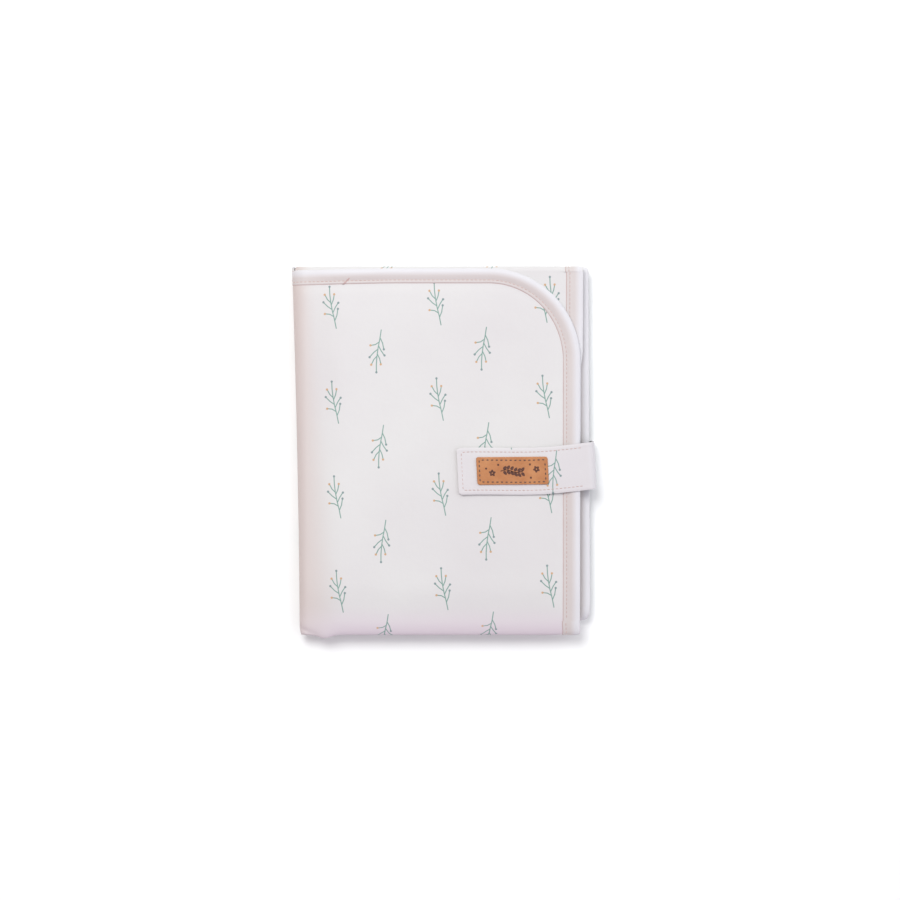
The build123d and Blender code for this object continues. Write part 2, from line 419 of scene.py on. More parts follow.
def sprig_masks(tree, sheet):
    """Coverage of the print's stems, green berries and ochre berries. Sheet coordinates are in mm."""
    def do(op, *values, **how):
        return calc(tree, op, *values, **how)

    u, v, _ = split_xyz(tree, sheet)
    odd = do("FLOORED_MODULO", do("FLOOR", do("DIVIDE", v, SPRIG_ROW)), 2.0)
    u = do("FLOORED_MODULO", do("SUBTRACT", u, do("MULTIPLY", odd, SPRIG_SHIFT)), SPRIG_COLUMN)
    u = do("SUBTRACT", u, SPRIG_COLUMN / 2)
    v = do("FLOORED_MODULO", v, SPRIG_ROW)
    flipped = do("MULTIPLY", odd, do("SUBTRACT", SPRIG_ROW, v))
    v = do("ADD", flipped, do("MULTIPLY", do("SUBTRACT", 1.0, odd), v))
    v = do("SUBTRACT", v, SPRIG_FOOT)
    join = tree.nodes.new("ShaderNodeCombineXYZ")
    put(tree, join.inputs[0], u)
    put(tree, join.inputs[1], v)
    p = join.outputs[0]

    def nearest(distances):
        best = distances[0]
        for d in distances[1:]:
            best = do("MINIMUM", best, d)
        return best

    def segment(a, b):
        ab = (b[0] - a[0], b[1] - a[1], 0)
        size = ab[0] ** 2 + ab[1] ** 2
        pa = vcalc(tree, "SUBTRACT", p, (a[0], a[1], 0))
        share = do("DIVIDE", vcalc(tree, "DOT_PRODUCT", pa, ab), size, clamp=True)
        return vcalc(tree, "DISTANCE", pa, vcalc(tree, "SCALE", ab, scale=share))

    def coverage(distance, radius):
        return do("DIVIDE", do("SUBTRACT", radius + 0.12, distance), 0.24, clamp=True)

    def berries(places):
        return coverage(nearest([vcalc(tree, "DISTANCE", p, (*b, 0)) for b in places]), BERRY_R)

    lines = [segment(a, b) for line in SPRIG_LINES for a, b in zip(line, line[1:])]
    return coverage(nearest(lines), LINE_HALF), berries(GREEN_BERRIES), berries(OCHRE_BERRIES)


def cloth_base(name, colour, tint, weave=0.55, rough=0.55):
    """Plain coated cotton: slow colour drift, a fine weave and faint creases."""
    mat, tree, shader = material(name)
    sheet = attribute(tree, "sheet")
    coords = object_place(tree)
    drift = calc(tree, "MULTIPLY_ADD", noise_value(tree, coords, 9.0, 3.0), 2.4, -0.7, clamp=True)
    fleck = noise_value(tree, coords, 900.0, 2.0)
    drift = calc(tree, "MULTIPLY_ADD", fleck, 0.25, drift, clamp=True)
    base = mix(tree, drift, colour, tint)
    settle(shader, Roughness=rough, Sheen_Weight=0.15, Sheen_Roughness=0.4, Specular_IOR_Level=0.35)
    threads = calc(tree, "ADD", *(wave_value(tree, sheet, weave, way) for way in "XY"))
    creases = noise_value(tree, coords, 55.0, 3.0, 0.55)
    under = bump(tree, shader, creases, 0.9 * MM, 0.30)
    bump(tree, shader, threads, 0.03 * MM, 0.6, under)
    return mat, tree, shader, sheet, base


def print_cloth(name, colour, tint, painted_fold_shade=()):
    """Printed cloth. Its last argument gives the painted shade tones along the book fold and along the bottom
    fold.
    """
    mat, tree, shader, sheet, base = cloth_base(name, colour, tint)
    if painted_fold_shade:
        # painted shade: the cloth darkens towards the book fold and the bottom fold
        for share, tone in zip(split_xyz(tree, attribute(tree, "folds")), painted_fold_shade):
            base = mix(tree, share, base, tone)
    ink = noise_value(tree, object_place(tree), 60.0, 1.0)
    green_ink = mix(tree, ink, rgb(74, 126, 113), rgb(102, 148, 135))
    inks = ((0.86, green_ink), (0.9, rgb(112, 134, 134)), (0.9, rgb(190, 150, 108)))
    for mask, (strength, tone) in zip(sprig_masks(tree, sheet), inks):
        base = mix(tree, calc(tree, "MULTIPLY", mask, strength), base, tone)
    put(tree, shader.inputs["Base Color"], base)
    return mat


def plain_cloth(name, colour, tint):
    mat, tree, shader, _, base = cloth_base(name, colour, tint)
    put(tree, shader.inputs["Base Color"], base)
    return mat


def tape_cloth(name, inner, outer):
    """Binding tape with a painted highlight: lighter towards its outer edge, where it rolls over. Its sheet
    coordinates run on the bias.
    """
    mat, tree, shader, sheet, base = cloth_base(name, *inner, weave=0.42, rough=0.45)
    u, v, _ = split_xyz(tree, sheet)
    inward = calc(tree, "MULTIPLY", calc(tree, "SUBTRACT", u, v), 0.7071)
    # painted highlight: the outer tone is full within 2.8 mm of the outer edge and fades out by 6.2 mm
    share = calc(tree, "MULTIPLY_ADD", inward, -1 / 3.4, 6.2 / 3.4, clamp=True)
    put(tree, shader.inputs["Base Color"], mix(tree, share, base, outer))
    return mat


def thread_material(name, colour, dark):
    mat, tree, shader = material(name)
    coords = object_place(tree)
    put(tree, shader.inputs["Base Color"], mix(tree, noise_value(tree, coords, 420.0, 2.0), colour, dark))
    settle(shader, Roughness=0.6, Sheen_Weight=0.3)
    bump(tree, shader, wave_value(tree, coords, 0.6 * MM, "DIAGONAL"), 0.08 * MM, 0.6)
    return mat


def leather_material(name, colour, dark):
    mat, tree, shader = material(name)
    coords = object_place(tree)
    cloudy = calc(tree, "MULTIPLY_ADD", noise_value(tree, coords, 90.0, 4.0), 1.8, -0.45, clamp=True)
    put(tree, shader.inputs["Base Color"], mix(tree, cloudy, colour, dark))
    settle(shader, Roughness=0.48, Specular_IOR_Level=0.4)
    under = bump(tree, shader, cell_value(tree, coords, 1400.0), 0.12 * MM, 0.5)
    bump(tree, shader, noise_value(tree, coords, 260.0, 3.0), 0.3 * MM, 0.4, under)
    return mat


def pile_material(name, colour, dark, scale):
    """Hook or loop tape: short bristle or fuzz."""
    mat, tree, shader = material(name)
    cells = cell_value(tree, object_place(tree), scale)
    put(tree, shader.inputs["Base Color"], mix(tree, cells, colour, dark))
    settle(shader, Roughness=0.8, Sheen_Weight=0.4)
    bump(tree, shader, cells, 0.4 * MM, 0.9)
    return mat


# The cover's two tones at the end are painted shade: pinkish along the book fold, mauve along the bottom
# fold.
COVER = print_cloth("printed_cover", rgb(210, 210, 208), rgb(205, 203, 203),
                    painted_fold_shade=(rgb(199, 188, 184), rgb(205, 195, 202)))
LINING = plain_cloth("lining", rgb(218, 216, 214), rgb(213, 210, 210))
# The tape's last tone is a painted highlight on its rolled outer edge.
TAPE = tape_cloth("binding_tape", (rgb(202, 196, 194), rgb(196, 188, 186)), rgb(209, 208, 211))
# Painted shade: a darker tone for the thin shadow line along the tape's inner edge and on the lap where its
# ends join.
SEAM_SHADE = plain_cloth("tape_fold", rgb(176, 148, 146), rgb(190, 164, 160))
STRAP = print_cloth("strap_cloth", rgb(208, 207, 207), rgb(203, 199, 201))
THREAD = thread_material("thread", rgb(200, 174, 166), rgb(178, 150, 142))
LABEL_THREAD = thread_material("label_thread", rgb(96, 66, 58), rgb(70, 46, 40))
LEATHER = leather_material("label_leather", rgb(188, 130, 84), rgb(162, 100, 56))
PRESSED = leather_material("pressed_ornament", rgb(92, 52, 38), rgb(70, 38, 28))
HOOK = pile_material("hook_tape", rgb(222, 220, 220), rgb(190, 188, 190), 1100.0)
LOOP = pile_material("loop_tape", rgb(232, 230, 230), rgb(206, 204, 206), 1700.0)


# ---- one panel
def cover_piece(name, printed, lined, sheet):
    obj = padded_sheet(name, printed, lined, sheet, [COVER, LINING])
    return obj


NEAR_EDGE = (0.6, 2.5, 5.0, 7.5, 9.0, 10.0, 10.8, 11.4, 12.2, 13.4, 15.2, 17.6, 20.5, 24.0)
EDGE_STEPS = [d * MM for d in NEAR_EDGE]
FOLD_LENGTH = 0.19  # about, for the number of steps along a fold


def spread(length, bound=True, step=4.2 * MM):
    """Fractions of a length, with fine steps near its far end where that end is bound."""
    low, high = [0, 2 * MM], EDGE_STEPS if bound else [0, 2 * MM]
    start, end = low[-1], length - high[-1]
    count = max(2, round((end - start) / step))
    inner = [start + (end - start) * i / count for i in range(1, count)]
    places = low + inner + [length - d for d in reversed(high)]
    first, last = places[0], places[-1]
    return np.array([(p - first) / (last - first) for p in places])


def edge_distance(x, y, half, kind):
    """Distance inwards from a panel's bound edge."""
    out = EDGE_X[half, kind] - x
    if kind == "middle":
        return out
    up = FREE_WAY[kind] * (FREE_Y[half, kind] - y)
    corner = (out < CORNER_R) & (up < CORNER_R)
    round_d = CORNER_R - np.hypot(CORNER_R - out, CORNER_R - up)
    return np.where(corner, round_d, np.minimum(out, up))


def fold_y(half, kind):
    """Where a panel starts at its fold, in y."""
    if kind == "long_flap":
        return CREASE[half] + BOTTOM_ROLL
    return TOP_CREASE - TOP_ROLL


def half_thickness(d):
    """Half the padded sheet's thickness: thin under the tape, full past the stitches."""
    thin, full = 0.92 * MM, PANEL_T / 2 - 0.02 * MM
    return thin + (full - thin) * smooth((d - TAPE_W - 0.9 * MM) / (5.5 * MM)) ** 0.7


def coons(bottom, top, left, right, us, vs):
    """A grid of points inside four boundary curves."""
    u, v = us[:, None, None], vs[None, :, None]
    corners = ((1 - u) * (1 - v) * bottom[0] + u * (1 - v) * bottom[-1]
               + (1 - u) * v * top[0] + u * v * top[-1])
    return ((1 - v) * bottom[:, None] + v * top[:, None]
            + (1 - u) * left[None] + u * right[None] - corners)


def along(points, fractions):
    """Points at the given fractions of a polyline's length."""
    run = run_of(points)
    return points_at(fractions * run[-1], run, points)


def panel_grid(half, kind):
    """The panel's points in x and y: rows run from the spine side out, columns from the fold."""
    inset = EDGE_STEPS[0]
    x_out = EDGE_X[half, kind] - inset
    if kind == "middle":
        y0, y1 = CREASE[half] + BOTTOM_ROLL, TOP_CREASE - TOP_ROLL
        xs = FLAT_X + (x_out - FLAT_X) * spread(x_out - FLAT_X)
        ys = y0 + (y1 - y0) * spread(y1 - y0, bound=False)
        return np.meshgrid(xs, ys, indexing="ij")
    s = FREE_WAY[kind]
    y0, y1 = fold_y(half, kind), FREE_Y[half, kind] - s * inset
    r = CORNER_R - inset
    cx, cy = x_out - r, y1 - s * r
    arc = [(cx + r * math.sin(a), cy + s * r * math.cos(a)) for a in np.linspace(0, math.pi / 2, 61)]
    top = np.array([(FLAT_X, y1)] + arc[:31])
    right = np.array([(x_out, y0)] + arc[:29:-1])
    us = spread(x_out - FLAT_X)
    vs = spread(abs(y1 - y0))
    low = np.array([(FLAT_X, y0), (x_out, y0)])
    left = np.array([(FLAT_X, y0), (FLAT_X, y1)])
    grid = coons(along(low, us), along(top, us), along(left, vs), along(right, vs), us, vs)
    return grid[..., 0], grid[..., 1]


def print_side(kind):
    """+1 where a layer's printed side faces away from the book fold's middle plane."""
    return -1.0 if kind == "middle" else 1.0


def print_place(x, y, half, kind):
    """Where a point of a panel lies on the flat printed sheet, in mm."""
    x, y = np.broadcast_arrays(x, y)
    run = np.where(x >= FLAT_X, x - FLAT_X, (x - FLAT_X) / (FLAT_X - SPINE_X) * SPINE_ARC) / MM
    u = SIGN[half] * (run + SPINE_ARC / MM) - SPINE_ARC / MM
    v = (y - FRONT_CREASE) / MM
    du, dv, flip = PRINT_SHIFT[kind]
    u, v = u + du, flip * v + dv
    c, s = math.cos(PRINT_TILT), math.sin(PRINT_TILT)
    return np.stack([c * u + s * v, -s * u + c * v], -1)


def make_panel(half, kind):
    x, y = panel_grid(half, kind)
    d = edge_distance(x, y, half, kind)
    mid = sum(DEPTHS[kind]) / 2
    thick, proud, side = half_thickness(d), 0.0, print_side(kind)
    if (half, kind) == ("front", "long_flap"):
        fades = smooth((x - FLAT_X) / (20 * MM)) * smooth(np.abs(y - fold_y(half, kind)) / (25 * MM))
        proud = PANEL_PROUD * fades * smooth((d - TAPE_W) / (26 * MM)) * (0.55 + 0.45 * wave(x, y, 3.7))
    printed = place(x, y, mid + side * (thick + proud), half)
    lined = place(x, y, mid - side * thick, half)
    obj = cover_piece(f"{half}_{kind}_panel", printed, lined, print_place(x, y, half, kind))
    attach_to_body(obj, body_of(half, kind))
    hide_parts(*(f"{half}_{kind}_{part}" for part in ("cover", "wadding", "lining")))


def body_of(half, kind):
    return f"mid_{half}" if kind == "middle" else f"{kind}_{half}"


# ---- edge binding and its stitches
# The tape's section: distance in from the edge and height over the layer's middle, in mm, from its inner
# edge on one side round the edge to the middle. The other side mirrors it.
TAPE_OUTER = ((11.25, 0.92), (10.95, 1.26), (10.3, 1.42), (9.6, 1.33), (8.9, 1.14), (8.2, 1.24), (6.8, 1.40),
              (5.0, 1.50), (3.0, 1.47), (1.7, 1.34), (0.7, 1.05), (0.15, 0.55), (0.0, 0.0))
SEAM_AT = TAPE_OUTER[4]
TAPE_INNER = ((0.45, 0.0), (0.8, 0.72), (2.2, 0.98), (6.0, 1.0), (10.6, 0.96))


def tape_section():
    outer = list(TAPE_OUTER) + [(d, -h) for d, h in reversed(TAPE_OUTER[:-1])]
    inner = [(d, -h) for d, h in reversed(TAPE_INNER[1:])] + list(TAPE_INNER)
    return np.array(outer + inner) * MM


def bound_line(half, kind, step=2.4 * MM):
    """A panel's bound edge from the spine side round the corner to the fold: points, outward directions."""
    x_out = EDGE_X[half, kind]
    if kind == "middle":
        y0, y1 = CREASE[half] + BOTTOM_ROLL, TOP_CREASE - TOP_ROLL
        ys = np.linspace(y1, y0, round((y1 - y0) / step))
        return np.stack([np.full_like(ys, x_out), ys], -1), np.tile([1.0, 0.0], (len(ys), 1))
    s = FREE_WAY[kind]
    free, y0, r = FREE_Y[half, kind], fold_y(half, kind), CORNER_R
    xs = np.linspace(FLAT_X, x_out - r, round((x_out - r - FLAT_X) / step))
    turn = np.linspace(0, math.pi / 2, 43)[1:-1]
    ys = np.linspace(free - s * r, y0, round(abs(free - s * r - y0) / step))
    points = np.concatenate([
        np.stack([xs, np.full_like(xs, free)], -1),
        np.stack([x_out - r + r * np.sin(turn), free - s * r + s * r * np.cos(turn)], -1),
        np.stack([np.full_like(ys, x_out), ys], -1),
    ])
    out = np.concatenate([
        np.tile([0.0, s], (len(xs), 1)),
        np.stack([np.sin(turn), s * np.cos(turn)], -1),
        np.tile([1.0, 0.0], (len(ys), 1)),
    ])
    return points, out


def edge_in_space(x, y, half, kind, outward):
    """Points in the layer's middle, outward and printed-side directions, and the layer's thickness."""
    low, high = (place(x, y, depth, half) for depth in DEPTHS[kind])
    return (low + high) / 2, outward, unit(high - low) * print_side(kind), np.linalg.norm(high - low, axis=1)


def panel_edge(half, kind):
    points, out = bound_line(half, kind)
    outward = np.concatenate([out, np.zeros((len(out), 1))], 1)
    return edge_in_space(points[:, 0], points[:, 1], half, kind, outward)


def spine_edge(half, kind):
    """The free edge where it goes on round the spine, to the middle plane."""
    turns = np.linspace(FLAT_X, SPINE_X, 12)
    outward = np.tile([0.0, FREE_WAY[kind], 0.0], (len(turns), 1))
    return edge_in_space(turns, FREE_Y[half, kind], half, kind, outward)


def tape_share(outward):
    """The tape is a little wider along the open side than along the other edges."""
    return 0.96 + 0.15 * outward[:, 0:1] ** 2


def make_tape(name, base, outward, face, thick, proud=0.0):
    section = tape_section()
    d, h = section[:, 0], section[:, 1]
    wobble = 1 + 0.05 * np.array([noise.noise(Vector(p) / (9 * MM)) for p in base])
    high = h[None, :] * (thick / PANEL_T * wobble)[:, None]
    crown = np.where(h > 0, np.clip(np.sin(math.pi * np.clip(d / (8.9 * MM), 0, 1)), 0, 1) ** 0.8, 0)
    ends = np.arange(len(base)) / len(base)
    high = high + proud * crown[None, :] * (smooth(ends * 12) * smooth((1 - ends) * 12))[:, None]
    loops = (base[:, None] - outward[:, None] * (tape_share(outward) * d)[..., None]
             + face[:, None] * high[..., None])
    # the faces of the tape's inner edge, top and bottom, take the painted seam shade
    inner_edges = (0, 2 * len(TAPE_OUTER) - 3)
    slots = [int(k in inner_edges) for k in range(len(section))]
    run = run_of(base)[:, None] / MM
    bias = np.stack(np.broadcast_arrays(run + d / MM, run - d / MM), -1) * 0.7071
    return sweep(name, loops, [TAPE, SEAM_SHADE], slots, sheet=bias.reshape(-1, 2))


# One stitch: place along it as a share of its length, fatness, and rise as a share of its width
STITCH_SHAPE = ((-0.5, 0.30, -0.22), (-0.36, 0.85, 0.06), (0.0, 1.0, 0.16), (0.36, 0.85, 0.06),
                (0.5, 0.30, -0.22))


def stitch_row(name, points, normals, looks, length=STITCH_LEN, step=STITCH_STEP, width=0.52 * MM):
    """Separate stitches along a line that lies on a surface, each a short thread sunk at both ends."""
    run = run_of(points)
    normals = np.broadcast_to(normals, points.shape)
    verts, faces = [], []
    sides = 6
    for k in range(int(run[-1] / step - 0.5) + 1):
        middle = 0.5 * step + k * step
        if middle > run[-1] - length / 4:
            break
        first = len(verts)
        for share, fat, rise in STITCH_SHAPE:
            at = np.clip(middle + share * length, 0, run[-1])
            n = unit(points_at(at, run, normals))
            ahead = points_at(min(at + 0.3 * MM, run[-1]), run, points)
            behind = points_at(max(at - 0.3 * MM, 0), run, points)
            across = unit(np.cross(n, ahead - behind))
            centre = points_at(at, run, points) + n * rise * width
            for q in range(sides):
                a = 2 * math.pi * q / sides
                verts.append(centre + (across * math.cos(a) + n * math.sin(a) * 0.75) * width / 2 * fat)
        faces += tube_faces(len(STITCH_SHAPE), sides, first)
    return new_mesh(name, np.array(verts), faces, [looks], smooth_angle=80)


def tape_line(base, outward, face, thick, side=1.0):
    """The stitch line on one side of the tape, with its surface normals."""
    inset, high = SEAM_AT[0] * MM, SEAM_AT[1] * MM
    across = outward * tape_share(outward) * inset
    return base - across + side * face * high * (thick / PANEL_T)[:, None], side * face


def bound_run(name, *edge):
    """Tape and one row of stitches along an edge round a fold."""
    return make_tape(f"{name}_tape", *edge), stitch_row(f"{name}_stitches", *tape_line(*edge), THREAD)


def make_binding(half, kind):
    edge = panel_edge(half, kind)
    proud = TAPE_PROUD if (half, kind) == ("front", "long_flap") else 0.0
    tape = make_tape(f"{half}_{kind}_tape", *edge, proud)
    attach(tape, "binding_tape", body_of(half, kind), f"{half}_{kind}_binding")
    for label, side in (("print", 1.0), ("lining", -1.0)):
        line, normals = tape_line(*edge, side)
        row = stitch_row(f"{half}_{kind}_{label}_stitches", line, normals, THREAD)
        attach(row, "thread", body_of(half, kind), f"{half}_{kind}_seam")


# ---- folds
def fold_shape(half, kind, skin, turns):
    """y and depth of a fold's skin at each turn, 0 at the middle's side and pi at the flap's side."""
    near, _ = DEPTHS["middle"]
    _, far = DEPTHS[FLAP_OF[kind]]
    centre, tall = (near + far) / 2, (far - near) / 2
    roll = BOTTOM_ROLL if kind == "bottom" else TOP_ROLL
    crease = CREASE[half] if kind == "bottom" else TOP_CREASE
    s = FREE_WAY[FLAP_OF[kind]]
    inward = 0.0 if skin == "print" else PANEL_T
    reach = roll - inward
    y = crease + s * (inward + reach * (1 - np.sin(turns)))
    return y, centre - (tall - inward) * np.cos(turns)


def fold_turns():
    return np.concatenate([[0, 0.02], np.linspace(0.1, math.pi - 0.1, 31), [math.pi - 0.02, math.pi]])


def blend_fold(obj, corner=False):
    """Bakes the transform of a piece of a fold between the middle panel and its flap into its mesh."""
    if corner:
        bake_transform(obj)
    else:
        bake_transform(obj)


def fold_edge_x(half, kind, turns):
    """The bound edge's x round a fold, from the middle's to the flap's."""
    a, b = EDGE_X[half, "middle"], EDGE_X[half, FLAP_OF[kind]]
    return a + (b - a) * smooth(turns / math.pi)


def fold_skins(x, half, kind, turns):
    """The lining's and the print's skin of a fold, and the print's places on the flat sheet."""
    skins = []
    for skin in ("lined", "print"):
        y, depth = fold_shape(half, kind, skin, turns)
        skins.append(place(x, y, depth, half))
    run = run_of(np.stack([y, depth], -1))
    start, end = (print_place(x, y[k], half, part) for k, part in ((0, "middle"), (-1, FLAP_OF[kind])))
    return *skins, start + (end - start) * (run / run[-1])[None, :, None]


def make_fold(half, kind):
    turns = fold_turns()
    us = spread(FOLD_LENGTH, step=3 * MM)
    edge = fold_edge_x(half, kind, turns) - EDGE_STEPS[0]
    x = FLAT_X + us[:, None] * (edge - FLAT_X)[None, :]
    d = edge[None, :] + EDGE_STEPS[0] - x
    pinch = PANEL_T / 2 - half_thickness(d)[..., None]
    lined, printed, sheet = fold_skins(x, half, kind, turns)
    out = unit(printed - lined)
    obj = cover_piece(f"{half}_{kind}_fold_cloth", printed - out * pinch, lined + out * pinch, sheet)
    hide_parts(f"{half}_{kind}_fold")
    blend_fold(obj)

    mids = (printed[-1] + lined[-1]) / 2
    mids[:, 0] += EDGE_STEPS[0]
    outward = np.tile([1.0, 0.0, 0.0], (len(turns), 1))
    face = unit(out[-1] * np.array([0, 1, 1]))
    thick = np.linalg.norm(printed[-1] - lined[-1], axis=1)
    run = bound_run(f"{half}_{kind}_fold", mids, outward, face, thick)
    for piece, slot in zip(run, ("binding_tape", "thread")):
        blend_fold(piece)


def make_corner(half, kind):
    """A quarter of the turn where a fold goes round the spine."""
    turns = fold_turns()
    x = np.broadcast_to(ROUND_SPINE[:, None], (len(ROUND_SPINE), len(turns)))
    lined, printed, sheet = fold_skins(x, half, kind, turns)
    blend_fold(cover_piece(f"{half}_{kind}_corner", printed, lined, sheet), corner=True)


def make_spine_strip(half, kind):
    """A flap's cloth from FLAT_X round the spine to the middle plane."""
    xs = ROUND_SPINE[:, None]
    free = FREE_Y[half, kind]
    s = FREE_WAY[kind]
    y0, y1 = fold_y(half, kind), free - s * EDGE_STEPS[0]
    ys = y0 + (y1 - y0) * spread(abs(y1 - y0))
    near, far = DEPTHS[kind]
    pinch = PANEL_T / 2 - half_thickness(np.abs(free - ys))
    thin = np.cos((FLAT_X - xs) / (FLAT_X - SPINE_X) * math.pi / 2) * 0.8 + 0.2
    squeeze = pinch[None, :] * thin
    obj = cover_piece(f"{half}_{kind}_spine_cloth", place(xs, ys, far - squeeze, half),
                      place(xs, ys, near + squeeze, half), print_place(xs, ys, half, kind))
    tape, row = bound_run(f"{half}_{kind}_spine", *spine_edge(half, kind))
    for piece, slot in ((obj, "cover_cloth"), (tape, "binding_tape"), (row, "thread")):
        attach(piece, slot, body_of(half, kind))
        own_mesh(piece)
    if half == "back":
        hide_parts(f"{kind}_spine_fold")


def make_middle_spine():
    """The middle's cloth round the spine, one piece between the two halves."""
    xs = ROUND_SPINE[:, None]
    ys = np.linspace(max(CREASE.values()) + BOTTOM_ROLL, TOP_CREASE - TOP_ROLL, 60)
    near, far = DEPTHS["middle"]

    def both(back, front):
        return np.concatenate([back, front[::-1][1:]])

    printed, lined = (both(*(place(xs, ys, depth, half) for half in HALVES)) for depth in (near, far))
    sheet = both(*(print_place(xs, ys, half, "middle") for half in HALVES))
    obj = cover_piece("middle_spine_cloth", printed, lined, sheet)
    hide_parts("middle_spine_fold")
    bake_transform(obj)


def make_tape_join():
    """The slanting lap where the front binding's two ends are sewn together."""
    base, outward, _, thick = panel_edge("front", "long_flap")
    section = np.array(TAPE_OUTER) * MM
    start = JOIN_X + SPINE_X
    rows = []
    for offset, lift in ((0.0, 0.0), (0.25, 0.28), (1.3, 0.24), (1.7, -0.02)):
        xs = start + offset * MM + (section[0, 0] - section[:, 0]) * 0.95
        points = points_at(xs, base[:, 0], base)
        high = np.interp(xs, base[:, 0], thick) / PANEL_T
        points[:, 1] -= section[:, 0] * tape_share(outward[:1])[0, 0]
        points[:, 2] += section[:, 1] * high + lift * MM
        rows.append(points)
    under = [row - (0, 0, 0.3 * MM) for row in (rows[-1], rows[0])]
    loops = np.stack(rows + under, 1)
    # the whole lap takes the painted seam shade, as a thin shadow line
    join = sweep("front_long_flap_tape_join", loops, [SEAM_SHADE])
    attach(join, "binding_tape", "long_flap_front")


for half in HALVES:
    for kind in DEPTHS:
        make_panel(half, kind)
        make_binding(half, kind)
    for kind in ("bottom", "top"):
        make_fold(half, kind)
        make_corner(half, kind)
    for kind in ("long_flap", "short_flap"):
        make_spine_strip(half, kind)
make_middle_spine()
make_tape_join()

# ---- strap, hook and loop, label
STRAP_AXIS = Vector(JOINTS["strap_open"]["axis"])
STRAP_ALONG = Vector((STRAP_AXIS.y, -STRAP_AXIS.x, 0))
HINGE = Vector(JOINTS["strap_open"]["pos_m"])
TAB_HINGE = Vector(JOINTS["strap_tab_open"]["pos_m"])
STRAP_W = 33 * MM
STRAP_T = 1.2 * MM
TAB_LEN = 90.5 * MM
TAIL_LEN = 45 * MM
BEND_R = 5.4 * MM
THREAD_EDGE = 3.1 * MM  # the tab's stitches, from its edge
PRINT_U, PRINT_V = 13.25, 1.5 * SPRIG_ROW + 2.2  # the print's place on the strap, in mm
LABEL_SIZE = (50 * MM, 19.4 * MM)
UP = np.array([0.0, 0.0, 1.0])


def strap_frame(points):
    """Points along the strap, across it and up, as points in the part's frame."""
    points = np.array(points, float)
    on_tab = smooth((points[..., 2] - (HINGE.z + TAB_HINGE.z) / 2) / (5 * MM))
    left, right = (smooth((points[..., 0] - x * MM) / (62 * MM)) for x in (-92, -34))
    points[..., 1] -= 2.6 * MM * (left - right) * on_tab
    base = np.array([HINGE.x, HINGE.y, 0.0])
    return base + points @ np.array([list(STRAP_ALONG), list(STRAP_AXIS), [0, 0, 1]])


def strap_route():
    """The strap's middle line in its own plane: along, up, and the outward normal, from tail to tab."""
    low, high = HINGE.z, TAB_HINGE.z
    middle, tall = (low + high) / 2, (high - low) / 2
    tail = [(-TAIL_LEN + TAIL_LEN * k / 16, low) for k in range(16)]
    bend = []
    for k in range(49):
        a = -math.pi / 2 + math.pi * k / 48
        share = abs(math.sin(a)) ** 0.72 * math.copysign(1, math.sin(a))
        bend.append(((BEND_R + 0.6 * MM) * math.cos(a) ** 0.8, middle + tall * share))
    tab = [(-TAB_LEN * k / 44, high) for k in range(1, 45)]
    line = np.array(tail + bend + tab)
    ahead = np.gradient(line, axis=0)
    normal = unit(np.stack([ahead[:, 1], -ahead[:, 0]], -1))
    return line, normal, len(tail), len(tail) + len(bend)


def tab_sag(along_x, across):
    """The tab lies a little uneven: it lifts at its free corners and dips past the cover's edge."""
    lift = 0.5 * MM * smooth((-along_x - 70 * MM) / (22 * MM)) * (np.abs(across) / (STRAP_W / 2)) ** 2
    dip = -0.6 * MM * smooth((along_x + 16 * MM) / (16 * MM))
    ripple = 0.25 * MM * wave(along_x, across, 5.5, 24 * MM) * smooth(-along_x / (20 * MM))
    return lift + dip + ripple


def half_width(along_x):
    """Half the tab's width, drawn in to rounded corners at its free end."""
    r = 1.2 * MM
    near = np.clip(r - (along_x + TAB_LEN), 0, r)
    return STRAP_W / 2 - (r - np.sqrt(np.maximum(r * r - near * near, 0)))


ACROSS = np.array([-1, -0.985, -0.95, -0.9, -0.84, -0.78, -0.6, -0.4, -0.2, 0, 0.2, 0.4, 0.6, 0.78, 0.84, 0.9,
                   0.95, 0.985, 1])


def strap_skins(line, normal, on_tab):
    """The strap's outer and inner skins between two places on its route."""
    wide = np.where(on_tab, half_width(line[:, 0]), STRAP_W / 2)
    w = wide[:, None] * ACROSS[None, :]
    x = np.broadcast_to(line[:, 0:1], w.shape)
    z = np.broadcast_to(line[:, 1:2], w.shape)
    rim = 0.5 - 0.25 * smooth((np.abs(ACROSS) - 0.9) / 0.1)
    stitched = np.exp(-(((1 - np.abs(ACROSS)) * STRAP_W / 2 - THREAD_EDGE) / (0.9 * MM)) ** 2)
    thick = STRAP_T * (rim + 0.04) - 0.16 * MM * stitched
    sag = tab_sag(x, w) * smooth((z - (HINGE.z + TAB_HINGE.z) / 2) / (9 * MM))
    skins = []
    for sign in (1.0, -1.0):
        px = x + sign * normal[:, 0:1] * thick[None, :]
        pz = z + sign * normal[:, 1:2] * thick[None, :] + sag
        skins.append(strap_frame(np.stack([px, w, pz], -1)))
    return skins, w


